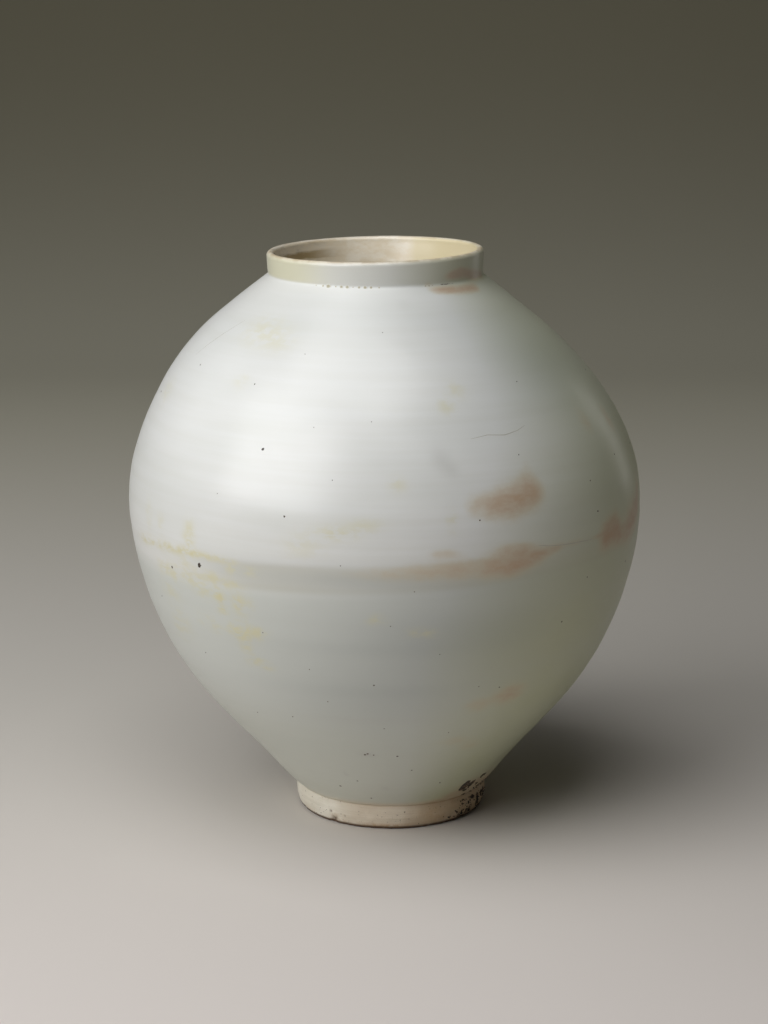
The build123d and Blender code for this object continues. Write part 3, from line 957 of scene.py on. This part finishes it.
def set_marks(name, places, normals, sizes, profile, edge_count, roughening, seed, masks):
    """Small round closed pieces on a surface: each is a stack of uneven rings round its normal,
    with radius and height given as shares of its size, closed by a point at each end."""
    random = np.random.default_rng(seed)
    rings, lifts = np.array(profile[1:-1]).T
    count = len(places)
    around = np.arange(edge_count) * 2 * np.pi / edge_count
    aside = np.cross([0.0, 0.0, 1.0], normals)
    aside /= np.linalg.norm(aside, axis=1, keepdims=True)
    upward = np.cross(normals, aside)
    edge = 1 + roughening * random.uniform(-1, 1, (count, 1, edge_count))
    reach = sizes[:, None, None] * rings[None, :, None] * edge
    ring_points = (
        places[:, None, None, :]
        + (reach * np.cos(around))[..., None] * aside[:, None, None, :]
        + (reach * np.sin(around))[..., None] * upward[:, None, None, :]
        + (sizes[:, None] * lifts)[:, :, None, None] * normals[:, None, None, :]
    )
    end_lifts = sizes[:, None] * np.array([profile[0][1], profile[-1][1]])
    ends = places[:, None, :] + end_lifts[..., None] * normals[:, None, :]
    points = np.concatenate([ring_points.reshape(count, -1, 3), ends], axis=1)
    ring_count = len(rings)
    ring = np.arange(ring_count - 1)[:, None] * edge_count
    over = ring + edge_count
    step = np.arange(edge_count)
    after = (step + 1) % edge_count
    quads = np.stack([ring + step, ring + after, over + after, over + step], axis=-1)
    pole = np.full(edge_count, ring_count * edge_count)
    bottom = np.stack([pole, after, step], axis=-1)
    last = (ring_count - 1) * edge_count
    top = np.stack([pole + 1, last + step, last + after], axis=-1)
    faces = []
    for start in np.arange(count) * points.shape[1]:
        for group in (quads.reshape(-1, 4), bottom, top):
            faces += (group + start).tolist()
    kept = {}
    for label, shares in masks.items():
        values = np.r_[np.repeat(shares[1:-1], edge_count), shares[0], shares[-1]]
        kept[label] = np.tile(values, count)
    return mesh_piece(name, points, faces, kept)


# Each speck has a turn in degrees, a height and a size in millimetres. The ones
# behind are scattered at random, in ranges of the same three
speck_marks = [
    (118, 266, 0.9), (111, 230, 0.7), (133, 192, 1.5), (143, 185, 0.8), (125, 300, 0.5),
    (151, 304, 0.5), (93, 124, 0.6), (105, 110, 0.45), (114, 33, 0.7), (104, 40, 0.6),
    (100, 24, 0.6), (98, 66, 0.8), (97, 67, 0.7), (95, 66, 0.6), (87, 65, 0.8), (70, 228, 0.5),
    (38, 221, 0.6), (39, 240, 0.5), (25, 249, 0.5), (8, 247, 0.6), (9, 294, 0.6),
    (22, 179, 0.6), (41, 181, 0.5), (47, 155, 0.6), (106, 280, 0.3), (92, 284, 0.3),
    (89, 165, 0.35), (118, 155, 0.35), (108, 133, 0.4), (67, 119, 0.4), (61, 116, 0.5),
    (117, 94, 0.5), (130, 91, 0.5), (66, 36, 0.6), (81, 51, 0.5), (84, 187, 0.35),
    (99, 203, 0.35), (78, 145, 0.35), (58, 262, 0.4), (49, 300, 0.4), (128, 238, 0.35),
    (101, 252, 0.35), (112, 318, 0.35), (87, 330, 0.35), (72, 84, 0.4), (91, 90, 0.4),
    (139, 130, 0.45), (152, 160, 0.45),
]
scatter = np.random.default_rng(31)
behind_count = 44
behind_ranges = [(165, 350), (24, 330), (0.35, 0.85)]
behind = np.array([scatter.uniform(low, high, behind_count) for low, high in behind_ranges]).T
specks = np.concatenate([speck_marks, behind])
speck_places, speck_normals = on_glaze(specks[:, 0], specks[:, 1])
speck_profile = [(0.0, -0.30), (0.70, -0.16), (1.0, 0.0), (0.72, 0.07), (0.0, 0.10)]
iron_specks = set_marks(
    "iron_specks",
    speck_places,
    speck_normals,
    specks[:, 2] / 1000.0,
    speck_profile,
    edge_count=11,
    roughening=0.3,
    seed=33,
    masks={},
)
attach(iron_specks, "root")

melted_iron, tree, shader, place = finish_of("melted_iron")
grain = placed(tree, clay_grain, {"Place": place, "Fleck Share": 0.2})
speck_tone = blend(tree, grain["Tone"], (0.045, 0.035, 0.028), (0.12, 0.085, 0.055))
speck_gloss = rise(tree, grain["Tone"], 0.0, 1.0, 0.25, 0.4)
dress(tree, shader, speck_tone, speck_gloss, grain["Height"], 0.00005)
give(iron_specks, melted_iron)

# Hairlines: two fine scratches in the glaze and the crease where the slip of the
# waist shows through at the right. Each is a thin low ridge along its path, whose
# corners are turns in degrees and heights in millimetres.
dull_line, tree, shader, place = finish_of("dull_line")
skin = placed(tree, glaze_surface, {"Place": place})
line_tone = blend(tree, skin["Mottle"], (0.40, 0.385, 0.33), (0.55, 0.535, 0.47))
line_dullness = rise(tree, skin["Mottle"], 0.3, 0.7, 0.45, 0.6)
dress(tree, shader, line_tone, line_dullness, skin["Height"], 0.00003)
line_half_width = 0.00022
line_stand = 0.00005
hairlines = {
    "left_scratch": [(158.2, 307.5), (155.5, 314.0), (151.5, 321.5), (146.0, 330.8)],
    "front_scratch": [(69.0, 273.0), (64.5, 274.4), (59.9, 273.4), (56.0, 275.0), (53.3, 277.2)],
    "waist_crease": [(56.6, 208.9), (53.2, 207.1), (48.7, 206.0), (44.7, 205.5), (40.3, 204.7)],
}
for line_name, corners in hairlines.items():
    corner_share = np.linspace(0.0, 1.0, len(corners))
    share = np.linspace(0.0, 1.0, 33)
    line_turn, line_height = (
        np.interp(share, corner_share, values) for values in np.array(corners).T
    )
    middle, away = on_glaze(line_turn, line_height)
    aside = np.cross(away, np.gradient(middle, axis=0))
    aside /= np.linalg.norm(aside, axis=1, keepdims=True)
    taper = 0.15 + 0.85 * np.sin(np.pi * share) ** 0.5
    around = np.arange(6) * np.pi / 3
    line_points = (
        middle[:, None, :]
        + (line_half_width * taper[:, None] * np.cos(around))[..., None] * aside[:, None, :]
        - (line_stand * taper[:, None] * np.sin(around))[..., None] * away[:, None, :]
    )
    hairline = skin_mesh(line_name, line_points, {}, joined=False)
    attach(hairline, "root")
    give(hairline, dull_line)

# Burst bubbles: air from the collar's joint that blew small craters in the
# glaze along the front. Each has a raised rim and a darker floor coloured as painted
# shade of its shallow hollow, and is marked by its turn in degrees and its size in millimetres.
bubble_marks = [
    (118.0, 0.8), (114.3, 1.7), (110.9, 0.6), (107.3, 1.2), (104.6, 1.3), (101.6, 0.5), (98.2, 1.0),
    (95.4, 1.3), (92.3, 1.0), (88.1, 0.7), (63.6, 0.7), (61.6, 0.9), (59.8, 0.6), (121.6, 0.5),
]
bubble_turn, bubble_size = np.array(bubble_marks).T
bubble_column = np.round(np.radians(bubble_turn) * glaze_columns / (2 * np.pi)).astype(int)
bubble_places = glaze_front[joint_row, bubble_column]
bubble_normals = glaze_normals[joint_row, bubble_column]
bubble_profile = [
    (0.0, -0.5), (0.9, -0.2), (1.0, 0.02), (0.84, 0.16), (0.66, 0.17), (0.5, 0.08), (0.0, 0.05),
]
crater_shade_share = {"crater_shade": (0.0, 0.0, 0.0, 0.0, 0.5, 1.0, 1.0)}
burst_bubbles = set_marks(
    "burst_bubbles",
    bubble_places,
    bubble_normals,
    bubble_size / 1000.0,
    bubble_profile,
    edge_count=12,
    roughening=0.15,
    seed=35,
    masks=crater_shade_share,
)
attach(burst_bubbles, "root")

bubble_glaze, tree, shader, place = finish_of("bubble_glaze")
skin = placed(tree, glaze_surface, {"Place": place})
tone = blend(tree, skin["Mottle"], (0.74, 0.72, 0.64), (0.80, 0.79, 0.74))
# the crater floor is coloured darker as painted shade of its hollow
tone = stain(tree, tone, "crater_shade", 1.0, (0.44, 0.41, 0.30))
crater_dullness = rise(tree, mask(tree, "crater_shade"), 0.0, 1.0, 0.2, 0.6)
dress(tree, shader, tone, crater_dullness, skin["Height"], 0.00005)
give(burst_bubbles, bubble_glaze)

# Kiln grit: sand from the kiln floor, fused to the right of the foot and to the
# bowl's root above it. Dark, glassy, angular grains of all sizes in a crust.
# The corners of a regular twenty-sided solid lie at 1 and the golden ratio
gold = (1 + 5**0.5) / 2
grain_corners = [
    (-1, gold, 0), (1, gold, 0), (-1, -gold, 0), (1, -gold, 0), (0, -1, gold), (0, 1, gold),
    (0, -1, -gold), (0, 1, -gold), (gold, 0, -1), (gold, 0, 1), (-gold, 0, -1), (-gold, 0, 1),
]
grain_corners = np.array(grain_corners) / (1 + gold**2) ** 0.5
grain_faces = [
    (0, 11, 5), (0, 5, 1), (0, 1, 7), (0, 7, 10), (0, 10, 11), (1, 5, 9), (5, 11, 4), (11, 10, 2),
    (10, 7, 6), (7, 1, 8), (3, 9, 4), (3, 4, 2), (3, 2, 6), (3, 6, 8), (3, 8, 9), (4, 9, 5),
    (2, 4, 11), (6, 2, 10), (8, 6, 7), (9, 8, 1),
]


def foot_face(mark_turn, mark_height):
    """Places and normals on the foot ring's barrelled outside, at turns in degrees and
    heights in millimetres."""
    up = mark_height / 1000.0
    reach = foot_reach_at((up - foot_edge_rounding) / (smear_top - foot_edge_rounding))
    angle = np.radians(mark_turn)
    return ring_at(foot_centre, reach, angle, up), ring_at(0.0, 1.0, angle, 0.0)


def grains(name, places, normals, sizes, seed):
    """Angular closed grains: twenty-sided stones with uneven corners, each partly sunk in."""
    random = np.random.default_rng(seed)
    count = len(places)
    rough = random.uniform(0.6, 1.2, (count, len(grain_corners), 1))
    squash = random.uniform(0.6, 1.15, (count, 1, 3))
    corners = grain_corners[None] * rough * squash * sizes[:, None, None]
    points = places[:, None, :] + corners + normals[:, None, :] * (sizes * 0.25)[:, None, None]
    faces = np.array(grain_faces) + (np.arange(count) * len(grain_corners))[:, None, None]
    return mesh_piece(name, points, faces.reshape(-1, 3).tolist(), {}, smooth=False)


def heaps(spots, random):
    """Turns and heights of grains heaped on spots: each spot has a turn in degrees, a height in
    millimetres, its spreads and a count."""
    found = [
        random.normal((turn, high), spread, (count, 2)) for turn, high, *spread, count in spots
    ]
    return np.concatenate(found).T


crust_spots = [
    (31.3, 12.0, 1.4, 0.6, 14), (24.8, 10.2, 1.0, 1.4, 14), (25.2, 5.8, 1.1, 1.1, 14),
    (18.4, 10.0, 1.2, 1.2, 12), (13.0, 9.5, 1.5, 1.8, 14), (34.3, 4.3, 0.8, 1.2, 12),
    (37.8, 4.0, 0.7, 0.9, 10), (42.1, 4.3, 0.7, 0.8, 9), (44.3, 2.3, 1.3, 0.6, 9),
    (46.4, 5.0, 0.7, 0.8, 6), (51.9, 3.7, 1.2, 0.7, 7), (41.3, 12.6, 0.9, 0.5, 5),
    (28, 6.5, 12.0, 3.5, 70),
]
stray_count = 30
crust_turn, crust_height = heaps(crust_spots, scatter)
heaped_count = len(crust_turn)
crust_turn = np.r_[crust_turn, scatter.uniform(-60, 160, stray_count)]
crust_height = np.r_[crust_height, scatter.uniform(1.5, 12.0, stray_count)]
crust_height = np.clip(crust_height, 1.2, 12.9)
crust_size = scatter.uniform(0.25, 0.85, heaped_count)
crust_size = np.r_[crust_size, scatter.uniform(0.10, 0.25, stray_count)] / 1000.0
crust_places, crust_normals = foot_face(crust_turn, crust_height)
root_spots = [
    (48.0, 25.8, 0.9, 1.1, 18), (47.2, 28.8, 0.8, 1.0, 10), (42.4, 25.9, 0.7, 0.9, 8),
    (42.0, 28.3, 0.6, 0.6, 5), (36.4, 31.6, 1.2, 0.5, 10), (41.3, 16.9, 0.7, 0.4, 5),
    (32, 21, 8.0, 3.0, 26), (20, 19, 9.0, 2.0, 26),
]
root_turn, root_height = heaps(root_spots, scatter)
root_height = np.clip(root_height, 16.8, 37)
root_size = scatter.uniform(0.25, 0.7, len(root_turn)) / 1000.0
root_places, root_normals = on_glaze(root_turn % 360, root_height)
fused_grit = grains(
    "fused_grit",
    np.concatenate([crust_places, root_places]),
    np.concatenate([crust_normals, root_normals]),
    np.r_[crust_size, root_size],
    seed=41,
)
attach(fused_grit, "root")
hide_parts("kiln_grit")

fused_sand, tree, shader, place = finish_of("fused_sand")
grain = placed(tree, clay_grain, {"Place": place, "Fleck Share": 0.2})
sand_kind = rise(tree, noise(tree, place, 300.0, 2.0), 0.4, 0.62)
sand_tone = blend(tree, sand_kind, (0.035, 0.026, 0.02), (0.26, 0.18, 0.11))
sand_tone = blend(tree, grain["Flecks"], sand_tone, (0.4, 0.31, 0.21))
sand_dullness = rise(tree, grain["Tone"], 0.0, 1.0, 0.4, 0.7)
dress(tree, shader, sand_tone, sand_dullness, grain["Height"], 0.0001)
give(fused_grit, fused_sand)

# Floor and backdrop: one plain pale paper sweep, flat under the jar and rising
# in a wide curve behind it. Its colour holds painted light: paler in front,
# darker round the jar, a little lighter behind it and darkest high up the curve.
sweep_start = -11.0
sweep_end = 1.6
sweep_bend = 1.6
sweep_side = 9.0
sweep_top = 3.4
sweep_columns = 9
flat_run = np.linspace(sweep_start, sweep_end, 24)
curve = np.linspace(0.0, np.pi / 2, 25)[1:]
sweep_y = np.r_[flat_run, sweep_end + sweep_bend * np.sin(curve), sweep_end + sweep_bend]
sweep_z = np.r_[0 * flat_run, sweep_bend * (1 - np.cos(curve)), sweep_top]
sweep_x = np.linspace(-sweep_side, sweep_side, sweep_columns)
sweep_points = np.stack(np.broadcast_arrays(sweep_x, sweep_y[:, None], sweep_z[:, None]), axis=-1)
corner = np.arange(len(sweep_y) - 1)[:, None] * sweep_columns + np.arange(sweep_columns - 1)
sweep_faces = np.stack(
    [corner, corner + 1, corner + sweep_columns + 1, corner + sweep_columns], axis=-1
)
paper_sweep = mesh_piece("paper_sweep", sweep_points, sweep_faces.reshape(-1, 4).tolist(), {})

sweep_paper, tree, shader, place = finish_of("sweep_paper")
back = axes_of(tree, place)["Y"]
# Painted light falloff and painted shade: paler in front, darker round the jar, a little lighter
# behind it and darker high up the curve
floor_painted_light = blend(tree, rise(tree, back, -0.5, 0.3), (0.74, 0.685, 0.65), (0.58, 0.552, 0.505))
floor_painted_light = blend(tree, rise(tree, back, 0.3, 1.6), floor_painted_light, (0.64, 0.615, 0.50))
floor_painted_light = blend(tree, rise(tree, back, 1.7, 2.8), floor_painted_light, (0.37, 0.345, 0.25))
feed(tree, shader.inputs["Base Color"], floor_painted_light)
shader.inputs["Roughness"].default_value = 0.9
shader.inputs["Specular IOR Level"].default_value = 0.15
give(paper_sweep, sweep_paper)

# Studio light: a large soft box above and to the left of the camera, weaker
# ones overhead, in front and at the left, a thin strip behind on the right that
# draws the streak near that edge, and a dim even room.


lamp_aim = Vector((0.0, 0.0, 0.2))
white = (1.0, 1.0, 1.0)


def soft_box(name, place, width, height, power, tint=white):
    """A rectangular area light at a place, turned to face the jar."""
    lamp = bpy.data.lights.new(name, "AREA")
    lamp.shape = "RECTANGLE"
    lamp.size = width
    lamp.size_y = height
    lamp.energy = power
    lamp.color = tint
    box = shown(name, lamp)
    box.location = place
    box.rotation_euler = (lamp_aim - Vector(place)).to_track_quat("-Z", "Y").to_euler()


soft_box("key_box", (-1.15, -0.90, 1.08), 1.45, 1.3, 19.2)
soft_box("top_box", (-0.26, -0.45, 1.82), 1.5, 1.1, 12.4)
soft_box("front_box", (0.0, -1.0, 1.6), 0.8, 0.8, 1.3)
soft_box("side_box", (-1.48, 0.26, 1.00), 0.9, 0.9, 1.8)
soft_box("rim_strip", (1.25, 1.14, 0.43), 0.09, 0.80, 0.47, (1.0, 0.98, 0.95))

room = bpy.data.worlds.new("studio_room")
room.use_nodes = True
room_light = room.node_tree.nodes["Background"]
room_light.inputs["Color"].default_value = (0.95, 0.95, 0.9, 1.0)
room_light.inputs["Strength"].default_value = 0.022
bpy.context.scene.world = room
bpy.context.scene.view_settings.view_transform = "Standard"

# Camera: a long lens a step and a half away, looking down on the jar as the
# photograph does.
lens = bpy.data.cameras.new("photo_camera")
lens.sensor_width = 36.0
lens.lens = 83.44
camera = shown("photo_camera", lens)
camera.location = (-0.0004, -1.505, 0.5555)
camera.rotation_euler = (np.radians(90.0 - 13.426), 0.0, 0.0)
bpy.context.scene.camera = camera

bpy.context.view_layer.update()
